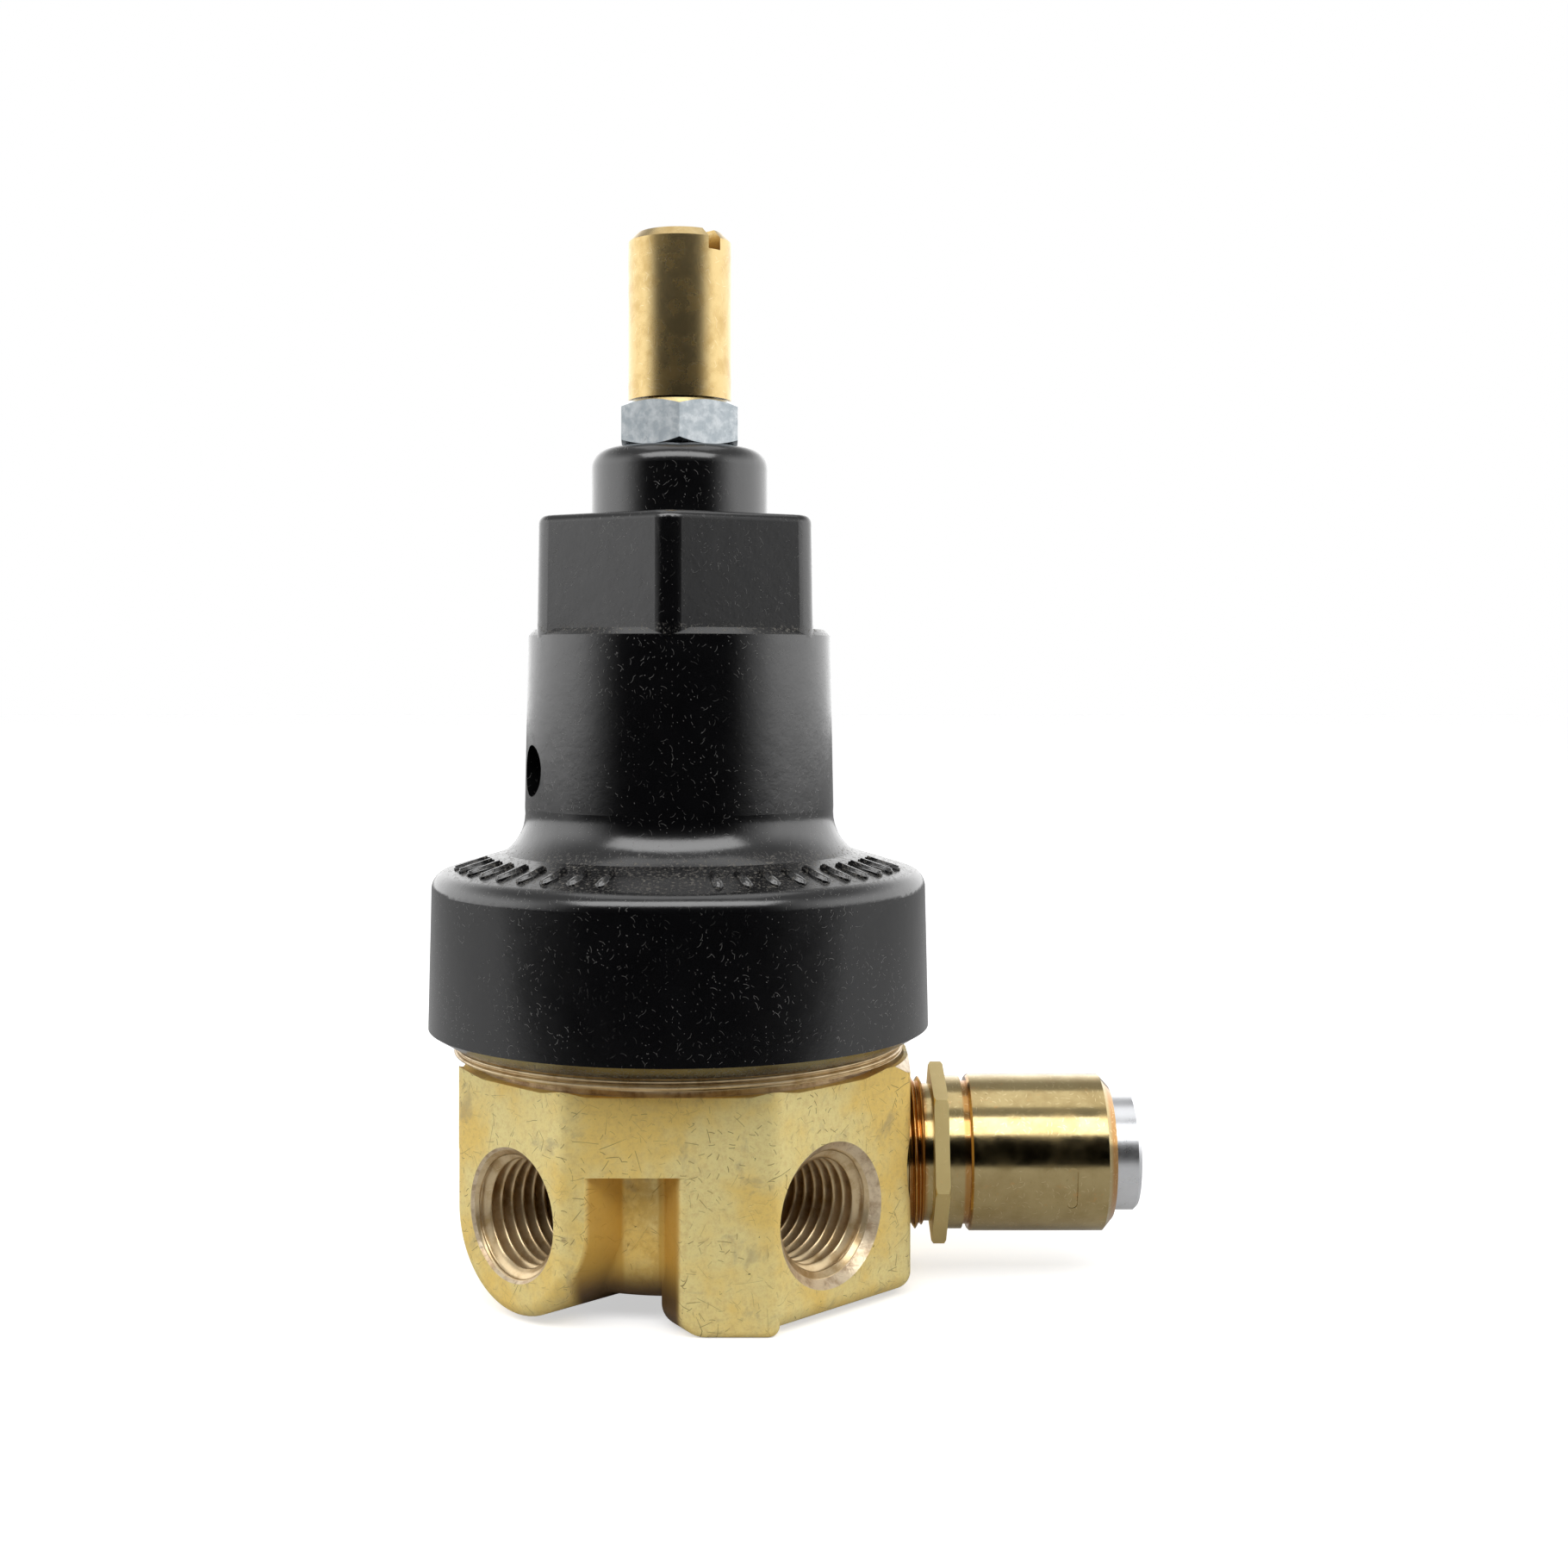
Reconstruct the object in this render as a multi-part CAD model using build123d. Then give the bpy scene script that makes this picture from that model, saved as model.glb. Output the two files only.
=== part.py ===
from build123d import *
import os
from math import cos, hypot, radians, sin, tan

# Air pressure regulator: a forged brass body with two 1/4-18 NPT ports, a moulded bonnet
# over a range spring and diaphragm, a poppet valve below, and a relief valve on one side.
# Millimetres. The origin is on the spring axis at the base plane. +Z runs up the adjusting
# screw, +X along the relief valve, and -Y is the front.

os.makedirs("parts", exist_ok=True)

# ---- Driving dimensions -------------------------------------------------------------------

# Forged body, an octagon in plan
PORT_FACE = 23.9  # the two port faces, at 45 degrees either side of the front
FRONT_FACE = 22.9
RELIEF_FACE = 25.75
LEFT_FACE = 23.6
CORNER_ROUND = 2.5
BAND_LOW = 16.5  # underside of the full octagon on the left
BODY_TOP = 24.7
CORE_R = 19.6
CORE_LOW = 2.4
BOSS_R = 10.1
BOSS_LOW = 0.45
BLOCK_LOW = 0.6
CORE_ROUND = 4.0
BOSS_ROUND = 1.4
UNDER_BOSS_R = 9.6
BLOCK_X = 2.5  # the right-hand block runs from here to the relief face
BLOCK_BACK = 14.0
BLOCK_ROUND = 1.8
FOOT_X = (1.3, 11.4)  # the front foot, from its left side to its right
FOOT_BACK = -8.0
FOOT_SLANT = 2.2  # how far the foot's left side leans across the pocket's depth
FOOT_ROUND_LEFT = 2.6
FOOT_ROUND_RIGHT = 1.1
FOOT_ROUND_FRONT = 0.8
POCKET_ROUNDS = (1.0, 0.6)  # the pocket's back corners, beside the boss and beside the foot
REAR_FOOT_HALF = 9.5
REAR_FOOT_Y = 13.0

# Turned neck that carries the bonnet
NECK_ROOT_R = 22.3
NECK_LOW = 25.75
NECK_R = 25.3
NECK_THREAD_ROOT_R = 24.8  # where the thread shows below the skirt
NECK_THREAD_ROOT_TOP = 28.5
NECK_TOP = 36.6
GROOVE_R = 25.4  # outside of the groove round the neck
TURNED = ((25.9, 25.4), (27.4, 23.7))  # radius and height of the cone turned on the corners
CHAMBER_R = 18.5
CHAMBER_FLOOR = 30.1

# Ports, 1/4-18 NPT
PORT_Z = 11.1
PORT_R = 6.8  # thread root at the mouth
PORT_DEPTH = 14.0
PORT_ANGLES = {"left": 225.0, "right": 315.0}
PORT_SINK_R = {"left": 7.1, "right": 7.7}
INLET_DRILL_R = 2.5
FILTER_R = 5.0
FILTER_THICK = 1.6
OUTLET_DRILL_R = 2.5
OUTLET_DRILL_AT = 13.0

# Valve stack on the spring axis
VALVE_BORE_R = 6.0
SEAT_TOP = 24.0
SEAT_LOW = 20.5
SEAT_LIP_LOW = 19.25
SEAT_LIP_R = 3.0
ORIFICE_R = 2.0
STEM_BORE_R = 3.0
STEM_R = 1.2
STEM_TOP = 33.25
POPPET_R = 4.0
POPPET_LOW = 15.0
SEAL_LOW = 18.0
SEAL_TOP = 19.2
SEAL_R = 3.6
GUIDE_R = 1.5
GUIDE_LOW = 5.5
PLUG_R = 8.0
PLUG_TOP = 7.2
PLUG_FACE = 3.5
PLUG_STUB_AF = 8.0
PLUG_SEAT_LOW = 5.6
GUIDE_BORE_R = 1.58
GUIDE_BORE_LOW = 4.2
PLUG_RING_R = 0.79

# Diaphragm stack
PUSHER_NOSE_LOW = 33.3
PUSHER_FLANGE_LOW = 34.6
PUSHER_FLANGE_R = 7.0
WASHER_LOW = 36.1
WASHER_R = 9.5
DIAPHRAGM_R = 24.0
DIAPHRAGM_TOP = 38.2
BOLT_R = 2.5
SLIP_RING_TOP = 39.0
PLATE_R = 16.0
PLATE_TOP = 39.7
PLATE_HUB_R = 8.0
PLATE_HUB_TOP = 41.2
NUT_RIM = 0.48  # a nut's chamfer leaves a round face this share of its width in radius
NUT_AF = 8.0
NUT_TOP = 44.2
BOLT_TOP = 45.1

# Range spring and its upper button
SPRING_MEAN_R = 10.0
SPRING_WIRE = 3.2
SPRING_TURNS = 6.0
BUTTON_R = 12.0
BUTTON_HUB_R = 7.9
BUTTON_HUB_LOW = 68.1
BUTTON_LOW = 71.1
BUTTON_TOP = 74.1
BUTTON_SOCKET_R = 3.0
BUTTON_SOCKET_LOW = 72.7

# Bonnet
SKIRT_LOW = 27.2
SKIRT_BEVEL_TOP = 28.7
SKIRT_TOE_R = 25.65
SKIRT_R = 28.15
SKIRT_BORE_R = 25.35
SHOULDER_LOW = 44.1
SHOULDER_SKIRT_R = 27.8
SHOULDER_ROUND = 2.0
CONE_LOW_R = 26.4
CONE_LOW_Z = 46.05
CONE_TOP_R = 19.8
CONE_TOP_Z = 48.05
TUBE_LOW_R = 17.45
TUBE_LOW_Z = 53.1
TUBE_TOP_R = 17.06
LEDGE_Z = 73.06
LEDGE_ROUND = 0.7
HEX_AF_LOW = 30.4
HEX_AF_TOP = 30.0
HEX_TOP = 85.5
HEX_ROUND = 2.8
HEX_TURN = -1.3  # degrees, one corner a little left of the front
BONNET_BOSS_R = 9.95
BONNET_TOP = 93.5
BONNET_BOSS_ROUND = 2.2
CAVITY_R = 18.5
CAVITY_NECK_LOW = 44.1
CAVITY_NECK_TOP = 50.1
SPRING_BORE_R = 13.2
ROOF = 82.1
VENT_R = 2.85
VENT_Z = 57.4
VENT_ANGLE = 203.0

# Adjusting screw, its insert and lock nut
SCREW_R = 4.0
SCREW_ROOT_R = 3.4  # the length that shows when the screw is backed out is cut to its thread root
SCREW_ROOT_LOW = 92.3
SCREW_BORE_R = 4.06
SCREW_TIP_R = 2.92
SCREW_TIP_TOP = 75.1
HEAD_R = 5.83
HEAD_LOW = 99.0
HEAD_TOP = 117.9
HEAD_CHAMFER = 1.0
SLOT_WIDTH = 1.75
SLOT_DEPTH = 2.4
SLOT_ANGLE = -45.0
INSERT_R = 6.2
INSERT_FLANGE_R = 8.0
INSERT_FLANGE_LOW = 80.6
LOCK_NUT_AF = 13.0
LOCK_NUT_TOP = 98.7
LOCK_NUT_TURN = 2.6

# Relief valve, along +X
RELIEF_Z = 13.85
RELIEF_THREAD_R = 8.4
RELIEF_BORE_R = 8.45
RELIEF_BORE_LOW = 19.5
RELIEF_ROOT_R = 7.85
RELIEF_THREAD_END = 27.4
RELIEF_NECK_R = 7.6
RELIEF_HEX = (28.4, 30.0)
RELIEF_HEX_AF = 17.46
RELIEF_HEX_RIM = 9.75
RELIEF_HEX_TURN = 13.5
RELIEF_LAND_R = 8.45
RELIEF_LAND_END = 31.7
RELIEF_GROOVE_R = 7.95
RELIEF_BARREL_LOW = 32.4
RELIEF_SPIGOT_R = 7.0
RELIEF_SPIGOT_END = 36.0
RELIEF_NOZZLE_R = 3.6
RELIEF_NOZZLE_END = 37.0
RELIEF_DRILL_R = 2.5
RELIEF_FEED_R = 2.0
RELIEF_FEED_AT = 14.5
BARREL_R = 8.66
BARREL_BORE_R = 6.4
BARREL_CHAMFER_AT = 47.5
BARREL_END_R = 7.4
BARREL_END = 48.6
RELIEF_SEAL_R = 4.6
RELIEF_SEAL = (37.05, 38.2)
RELIEF_POPPET_R = 5.4
RELIEF_POPPET_END = 39.4
RELIEF_STEM_R = 1.4
RELIEF_STEM_END = 47.5
RELIEF_PLUG = (46.0, 51.5)
RELIEF_PLUG_CHAMFER = 0.4
RELIEF_VENT_R = 2.0
STAKE_AT = 43.5
STAKE_ARC = 4.9
STAKE_WIDTH = 1.15
STAKE_DEPTH = 0.4
STAKE_TURN = 15.0  # degrees below level, on the front

# ---- Small helpers ------------------------------------------------------------------------


def cylinder(radius, low, high):
    """A cylinder on the Z axis from low to high."""
    return Pos(0, 0, low) * Cylinder(radius, high - low, align=(Align.CENTER, Align.CENTER, Align.MIN))


def turned(*points):
    """A solid turned about Z from (radius, height) points."""
    return revolve(Plane.XZ * Polygon(*points, align=None), Axis.Z)


def hexagon(across_flats, low, high, turn=0.0):
    """A hexagonal prism with a corner on -Y, turned about Z."""
    sketch = Rot(0, 0, turn - 90) * RegularPolygon(across_flats / 2, 6, major_radius=False)
    return Pos(0, 0, low) * extrude(sketch, high - low)


def chamfered_hexagon(across_flats, low, high, rim, turn=0.0):
    """A hexagonal prism whose corners are turned off at 30 degrees down to a rim radius."""
    corner = across_flats / 2 / cos(radians(30))
    drop = (corner - rim) * tan(radians(30))
    cone = turned((0, low), (rim, low), (corner, low + drop), (corner, high - drop), (rim, high), (0, high))
    return hexagon(across_flats, low, high, turn) & cone


def at_port(shape, side):
    """Turn a shape built up Z to run out along a port, from the spring axis."""
    return Pos(0, 0, PORT_Z) * Rot(0, 0, PORT_ANGLES[side]) * Rot(0, 90, 0) * shape


def at_relief(shape):
    """Turn a shape built up Z to run out along the relief valve."""
    return Pos(0, 0, RELIEF_Z) * Rot(0, 90, 0) * shape


def coil(mean_radius, wire, low, high, turns):
    """A round-wire compression spring that just fits between two planes."""
    rise = high - low - wire
    path = Helix(pitch=rise / turns, height=rise, radius=mean_radius)
    section = Plane(origin=path @ 0, z_dir=path % 0) * Circle(wire / 2)
    return Pos(0, 0, low + wire / 2) * sweep(section, path, is_frenet=True)


# ---- Forged body --------------------------------------------------------------------------


def octagon_plan():
    """The forging's outline seen from above."""
    near = PORT_FACE * 2**0.5 - FRONT_FACE
    right = PORT_FACE * 2**0.5 - RELIEF_FACE
    left = PORT_FACE * 2**0.5 - LEFT_FACE
    corners = [
        (-near, -FRONT_FACE),
        (near, -FRONT_FACE),
        (RELIEF_FACE, -right),
        (RELIEF_FACE, right),
        (near, FRONT_FACE),
        (-near, FRONT_FACE),
        (-LEFT_FACE, left),
        (-LEFT_FACE, -left),
    ]
    plan = Polygon(*corners, align=None)
    return fillet(plan.vertices(), CORNER_ROUND)


def prism(points, low, high):
    """An upright prism on a polygon."""
    return Pos(0, 0, low) * extrude(Polygon(*points, align=None), high - low)


def port_boss():
    """The U-shaped boss round the left port, running in to the spring axis."""
    low_centre = PORT_Z - BOSS_LOW - BOSS_R
    top = PORT_Z - BAND_LOW - 2
    bowl = Pos(low_centre, 0) * Circle(BOSS_R)
    sides = Pos((low_centre + top) / 2, 0) * Rectangle(low_centre - top, 2 * BOSS_R)
    boss = extrude(bowl + sides, PORT_FACE)
    return at_port(fillet(boss.faces().sort_by(Axis.Z)[-1].edges(), BOSS_ROUND), "left")


def right_block(outline):
    """The deep right-hand half of the forging, under the outlet and the relief valve."""
    points = [(BLOCK_X, -30), (30, -30), (30, BLOCK_BACK), (BLOCK_X, BLOCK_BACK)]
    block = prism(points, BLOCK_LOW, BODY_TOP) & outline
    return fillet(block.edges().group_by(Axis.Z)[0].sort_by(Axis.X)[1:], BLOCK_ROUND)


def front_foot(outline):
    """The foot that comes down flush with the front face."""
    left, right = FOOT_X
    points = [
        (left, -FRONT_FACE - 1),
        (right, -FRONT_FACE - 1),
        (right, FOOT_BACK),
        (left, FOOT_BACK),
        (left - FOOT_SLANT, -CORE_R + 0.5),
        (left, -FRONT_FACE),
    ]
    foot = prism(points, 0, BAND_LOW + 1) & outline
    low = foot.edges().group_by(Axis.Z)[0]
    foot = fillet(low.filter_by(lambda e: e.center().X < left), FOOT_ROUND_LEFT)
    low = foot.edges().group_by(Axis.Z)[0]
    foot = fillet(low.filter_by(lambda e: e.center().X > right - 0.1), FOOT_ROUND_RIGHT)
    low = foot.edges().group_by(Axis.Z)[0]
    return fillet(low.sort_by(Axis.Y)[:1], FOOT_ROUND_FRONT)


def rear_foot(outline):
    """The rear wall, which stands on the base plane."""
    half = REAR_FOOT_HALF
    points = [(-half, REAR_FOOT_Y), (half, REAR_FOOT_Y), (half, 30), (-half, 30)]
    foot = prism(points, 0, BAND_LOW + 1) & outline
    return fillet(foot.edges().group_by(Axis.Z)[0], FOOT_ROUND_RIGHT)


def round_pocket(body):
    """Rounds the two upright corners at the back of the pocket between the boss and the foot."""
    for side, radius in enumerate(POCKET_ROUNDS):
        upright = body.edges().filter_by(Axis.Z).filter_by(lambda e: e.center().Y < 0)
        on_core = upright.filter_by(lambda e: abs(hypot(e.center().X, e.center().Y) - CORE_R) < 0.01)
        body = fillet(on_core.filter_by(lambda e: e.center().X < FOOT_X[0]).sort_by(Axis.X)[-2 + side], radius)
    return body


def forging():
    """The outside of the body before the neck is turned and the holes are drilled."""
    plan = octagon_plan()
    top = TURNED[0][1]
    outline = extrude(plan, top)
    core = cylinder(CORE_R, CORE_LOW, BAND_LOW + 1)
    core = fillet(core.edges().sort_by(Axis.Z)[:1], CORE_ROUND)
    under = cylinder(UNDER_BOSS_R, BOSS_LOW, BAND_LOW)
    under = fillet(under.edges().sort_by(Axis.Z)[:1], FOOT_ROUND_FRONT)
    lower = core + under + (port_boss() & outline)
    lower += right_block(outline) + front_foot(outline) + rear_foot(outline)
    return round_pocket(lower + Pos(0, 0, BAND_LOW) * extrude(plan, top - BAND_LOW))


def neck_cut():
    """What the lathe takes off round the neck: the groove, and a cone off the corners outside it."""
    (top_r, top_z), (low_r, low_z) = TURNED
    return turned(
        (NECK_ROOT_R, BODY_TOP),
        (GROOVE_R - 1, BODY_TOP),
        (GROOVE_R, top_z),
        (top_r, top_z),
        (low_r, low_z),
        (40, low_z),
        (40, top_z + 1),
        (NECK_ROOT_R, top_z + 1),
    )


def port_cut(side):
    """A port's threaded bore and countersink."""
    sink = PORT_SINK_R[side] - PORT_R
    bore = cylinder(PORT_R, PORT_FACE - PORT_DEPTH, PORT_FACE + 1)
    mouth = turned(
        (0, PORT_FACE - sink - 0.01),
        (PORT_R, PORT_FACE - sink),
        (PORT_SINK_R[side], PORT_FACE),
        (PORT_SINK_R[side], PORT_FACE + 2),
        (0, PORT_FACE + 2),
    )
    return at_port(bore + mouth, side)


def passages():
    """Drilled ways between the ports, the valve and the chamber under the diaphragm."""
    inner = PORT_FACE - PORT_DEPTH
    inlet = at_port(cylinder(INLET_DRILL_R, 3, inner + 1), "left")
    filter_seat = at_port(cylinder(FILTER_R, inner - FILTER_THICK, inner + 1), "left")
    angle = radians(PORT_ANGLES["right"])
    outlet_at = Pos(OUTLET_DRILL_AT * cos(angle), OUTLET_DRILL_AT * sin(angle), 0)
    outlet = outlet_at * cylinder(OUTLET_DRILL_R, PORT_Z, CHAMBER_FLOOR + 1)
    relief = at_relief(cylinder(RELIEF_DRILL_R, RELIEF_FEED_AT - 2, RELIEF_BORE_LOW + 1))
    feed = Pos(RELIEF_FEED_AT, 0, 0) * cylinder(RELIEF_FEED_R, RELIEF_Z, CHAMBER_FLOOR + 1)
    return inlet + filter_seat + outlet + relief + feed


def regulator_body():
    """The forged and machined brass body."""
    body = forging() - neck_cut()
    body += cylinder(NECK_ROOT_R, BODY_TOP - 1, NECK_LOW)
    body += cylinder(NECK_THREAD_ROOT_R, NECK_LOW, NECK_THREAD_ROOT_TOP)
    body += cylinder(NECK_R, NECK_THREAD_ROOT_TOP, NECK_TOP)
    body -= cylinder(CHAMBER_R, CHAMBER_FLOOR, NECK_TOP + 1)
    body -= cylinder(STEM_BORE_R, SEAT_TOP - 1, CHAMBER_FLOOR + 1)
    body -= cylinder(VALVE_BORE_R, PLUG_TOP - 1, SEAT_TOP)
    body -= cylinder(PLUG_R, -1, PLUG_TOP)
    body -= at_relief(cylinder(RELIEF_BORE_R, RELIEF_BORE_LOW, RELIEF_FACE + 1))
    body -= passages()
    return body - port_cut("left") - port_cut("right")


# ---- Valve stack --------------------------------------------------------------------------


def valve_seat():
    """The brass seat with its lip facing down to the poppet."""
    seat = cylinder(VALVE_BORE_R, SEAT_LOW, SEAT_TOP) + cylinder(SEAT_LIP_R, SEAT_LIP_LOW, SEAT_TOP)
    return seat - cylinder(ORIFICE_R, SEAT_LIP_LOW - 1, SEAT_TOP + 1)


def poppet():
    """The poppet: a head, a stem up through the orifice and a guide pin down into the plug."""
    head = cylinder(POPPET_R, POPPET_LOW, SEAL_LOW)
    stem = cylinder(STEM_R, SEAL_LOW - 1, STEM_TOP)
    guide = cylinder(GUIDE_R, GUIDE_LOW, POPPET_LOW + 1)
    return head + stem + guide


def poppet_seal():
    """The rubber washer on the poppet."""
    return cylinder(SEAL_R, SEAL_LOW, SEAL_TOP) - cylinder(STEM_R, SEAL_LOW - 1, SEAL_TOP + 1)


def bottom_plug():
    """The plug that closes the valve bore, with a hexagon stub for its spanner."""
    plug = turned(
        (0, PLUG_FACE),
        (PLUG_R, PLUG_FACE),
        (PLUG_R, PLUG_SEAT_LOW),
        (PLUG_R - 2 * PLUG_RING_R, PLUG_SEAT_LOW),
        (PLUG_R - 2 * PLUG_RING_R, PLUG_TOP),
        (0, PLUG_TOP),
    )
    plug += hexagon(PLUG_STUB_AF, 0, PLUG_FACE)
    return plug - cylinder(GUIDE_BORE_R, GUIDE_BORE_LOW, PLUG_TOP + 1)


def bottom_plug_o_ring():
    """The seal in the step at the top of the bottom plug."""
    middle = PLUG_R - PLUG_RING_R
    return Pos(0, 0, PLUG_SEAT_LOW + PLUG_RING_R) * Torus(middle, PLUG_RING_R - 0.01)


def inlet_filter():
    """The sintered disc at the bottom of the inlet port."""
    inner = PORT_FACE - PORT_DEPTH
    return at_port(cylinder(FILTER_R, inner - FILTER_THICK, inner), "left")


# ---- Diaphragm stack ----------------------------------------------------------------------


def diaphragm():
    """The fabric-reinforced rubber diaphragm."""
    return cylinder(DIAPHRAGM_R, NECK_TOP, DIAPHRAGM_TOP) - cylinder(BOLT_R, NECK_TOP - 1, DIAPHRAGM_TOP + 1)


def slip_ring():
    """The fibre ring that lets the bonnet turn down without dragging the diaphragm."""
    return cylinder(DIAPHRAGM_R, DIAPHRAGM_TOP, SLIP_RING_TOP) - cylinder(
        CHAMBER_R, DIAPHRAGM_TOP - 1, SLIP_RING_TOP + 1
    )


def diaphragm_bolt():
    """The bolt through the diaphragm, whose flange pushes the poppet's stem."""
    return turned(
        (0, PUSHER_NOSE_LOW),
        (BOLT_R, PUSHER_NOSE_LOW),
        (BOLT_R, PUSHER_FLANGE_LOW),
        (PUSHER_FLANGE_R, PUSHER_FLANGE_LOW),
        (PUSHER_FLANGE_R, WASHER_LOW),
        (BOLT_R, WASHER_LOW),
        (BOLT_R, BOLT_TOP),
        (0, BOLT_TOP),
    )


def diaphragm_washer():
    """The washer between the bolt's flange and the rubber."""
    return cylinder(WASHER_R, WASHER_LOW, NECK_TOP) - cylinder(BOLT_R, WASHER_LOW - 1, NECK_TOP + 1)


def diaphragm_plate():
    """The plate that carries the lower end of the range spring."""
    plate = cylinder(PLATE_R, DIAPHRAGM_TOP, PLATE_TOP) + cylinder(PLATE_HUB_R, DIAPHRAGM_TOP, PLATE_HUB_TOP)
    return plate - cylinder(BOLT_R, DIAPHRAGM_TOP - 1, PLATE_HUB_TOP + 1)


def diaphragm_nut():
    """The nut that clamps the plate to the diaphragm."""
    nut = chamfered_hexagon(NUT_AF, PLATE_HUB_TOP, NUT_TOP, NUT_AF * NUT_RIM)
    return nut - cylinder(BOLT_R, PLATE_HUB_TOP - 1, NUT_TOP + 1)


def spring_button():
    """The button between the range spring and the tip of the adjusting screw."""
    button = cylinder(BUTTON_R, BUTTON_LOW, BUTTON_TOP) + cylinder(BUTTON_HUB_R, BUTTON_HUB_LOW, BUTTON_TOP)
    return button - cylinder(BUTTON_SOCKET_R, BUTTON_SOCKET_LOW, BUTTON_TOP + 1)


# ---- Bonnet -------------------------------------------------------------------------------


def bonnet_outline():
    """The bonnet's turned outside, as a closed half section up to the hexagon's ledge."""
    flare = ThreePointArc(
        (CONE_TOP_R, CONE_TOP_Z),
        (TUBE_LOW_R + 0.62, TUBE_LOW_Z - 3.15),
        (TUBE_LOW_R, TUBE_LOW_Z),
    )
    skirt = Polyline(
        (0, SKIRT_LOW),
        (SKIRT_TOE_R, SKIRT_LOW),
        (SKIRT_R, SKIRT_BEVEL_TOP),
        (SHOULDER_SKIRT_R, SHOULDER_LOW),
    )
    shoulder = RadiusArc((SHOULDER_SKIRT_R, SHOULDER_LOW), (CONE_LOW_R, CONE_LOW_Z), -SHOULDER_ROUND)
    cone = Line((CONE_LOW_R, CONE_LOW_Z), (CONE_TOP_R, CONE_TOP_Z))
    upper = Polyline(
        (TUBE_LOW_R, TUBE_LOW_Z),
        (TUBE_TOP_R, LEDGE_Z - LEDGE_ROUND),
        (TUBE_TOP_R - LEDGE_ROUND, LEDGE_Z),
        (0, LEDGE_Z),
        (0, SKIRT_LOW),
    )
    return make_face([*skirt.edges(), shoulder, cone, flare, *upper.edges()])


def bonnet_hexagon():
    """The drafted hexagon with rounded corners."""
    low = RegularPolygon(HEX_AF_LOW / 2, 6, major_radius=False)
    high = RegularPolygon(HEX_AF_TOP / 2, 6, major_radius=False)
    low = fillet(low.vertices(), HEX_ROUND)
    high = fillet(high.vertices(), HEX_ROUND)
    head = loft([Pos(0, 0, LEDGE_Z - 1) * low, Pos(0, 0, HEX_TOP) * high])
    head = fillet(head.edges().group_by(Axis.Z)[-1], 0.9)
    return Rot(0, 0, HEX_TURN - 90) * head


def bonnet_cavity():
    """The room inside for the neck, the diaphragm, the spring and the screw's insert."""
    room = turned(
        (0, SKIRT_LOW - 1),
        (SKIRT_BORE_R, SKIRT_LOW - 1),
        (SKIRT_BORE_R, SLIP_RING_TOP),
        (CAVITY_R, SLIP_RING_TOP),
        (CAVITY_R, CAVITY_NECK_LOW),
        (SPRING_BORE_R, CAVITY_NECK_TOP),
        (SPRING_BORE_R, ROOF),
        (0, ROOF),
    )
    vent = cylinder(VENT_R, SPRING_BORE_R - 2, TUBE_LOW_R + 3)
    vent = Pos(0, 0, VENT_Z) * Rot(0, 0, VENT_ANGLE) * Rot(0, 90, 0) * vent
    return room + vent + cylinder(INSERT_R, ROOF - 1, BONNET_TOP + 1)


def bonnet():
    """The moulded bonnet."""
    shell = revolve(Plane.XZ * bonnet_outline(), Axis.Z)
    boss = cylinder(BONNET_BOSS_R, HEX_TOP - 1, BONNET_TOP)
    boss = fillet(boss.edges().sort_by(Axis.Z)[-1:], BONNET_BOSS_ROUND)
    return shell + bonnet_hexagon() + boss - bonnet_cavity()


def bonnet_insert():
    """The threaded brass bush moulded into the bonnet's roof."""
    bush = cylinder(INSERT_R, ROOF - 1, BONNET_TOP) + cylinder(INSERT_FLANGE_R, INSERT_FLANGE_LOW, ROOF)
    return bush - cylinder(SCREW_BORE_R, INSERT_FLANGE_LOW - 1, BONNET_TOP + 1)


# ---- Adjusting screw and lock nut ---------------------------------------------------------


def adjusting_screw():
    """The screw that loads the range spring, with a slotted round head."""
    screw = turned(
        (0, BUTTON_SOCKET_LOW + 0.05),
        (SCREW_TIP_R, BUTTON_SOCKET_LOW + 0.05),
        (SCREW_TIP_R, SCREW_TIP_TOP),
        (SCREW_R, SCREW_TIP_TOP + 1),
        (SCREW_R, SCREW_ROOT_LOW),
        (SCREW_ROOT_R, SCREW_ROOT_LOW),
        (SCREW_ROOT_R, HEAD_LOW),
        (HEAD_R, HEAD_LOW),
        (HEAD_R, HEAD_TOP - HEAD_CHAMFER),
        (HEAD_R - HEAD_CHAMFER, HEAD_TOP),
        (0, HEAD_TOP),
    )
    slot = Pos(0, 0, HEAD_TOP) * Rot(0, 0, SLOT_ANGLE) * Box(4 * HEAD_R, SLOT_WIDTH, 2 * SLOT_DEPTH)
    return screw - slot


def lock_nut():
    """The jam nut on the adjusting screw."""
    nut = chamfered_hexagon(LOCK_NUT_AF, BONNET_TOP, LOCK_NUT_TOP, LOCK_NUT_AF * NUT_RIM, LOCK_NUT_TURN)
    return nut - cylinder(SCREW_BORE_R, BONNET_TOP - 1, LOCK_NUT_TOP + 1)


# ---- Relief valve -------------------------------------------------------------------------


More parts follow.
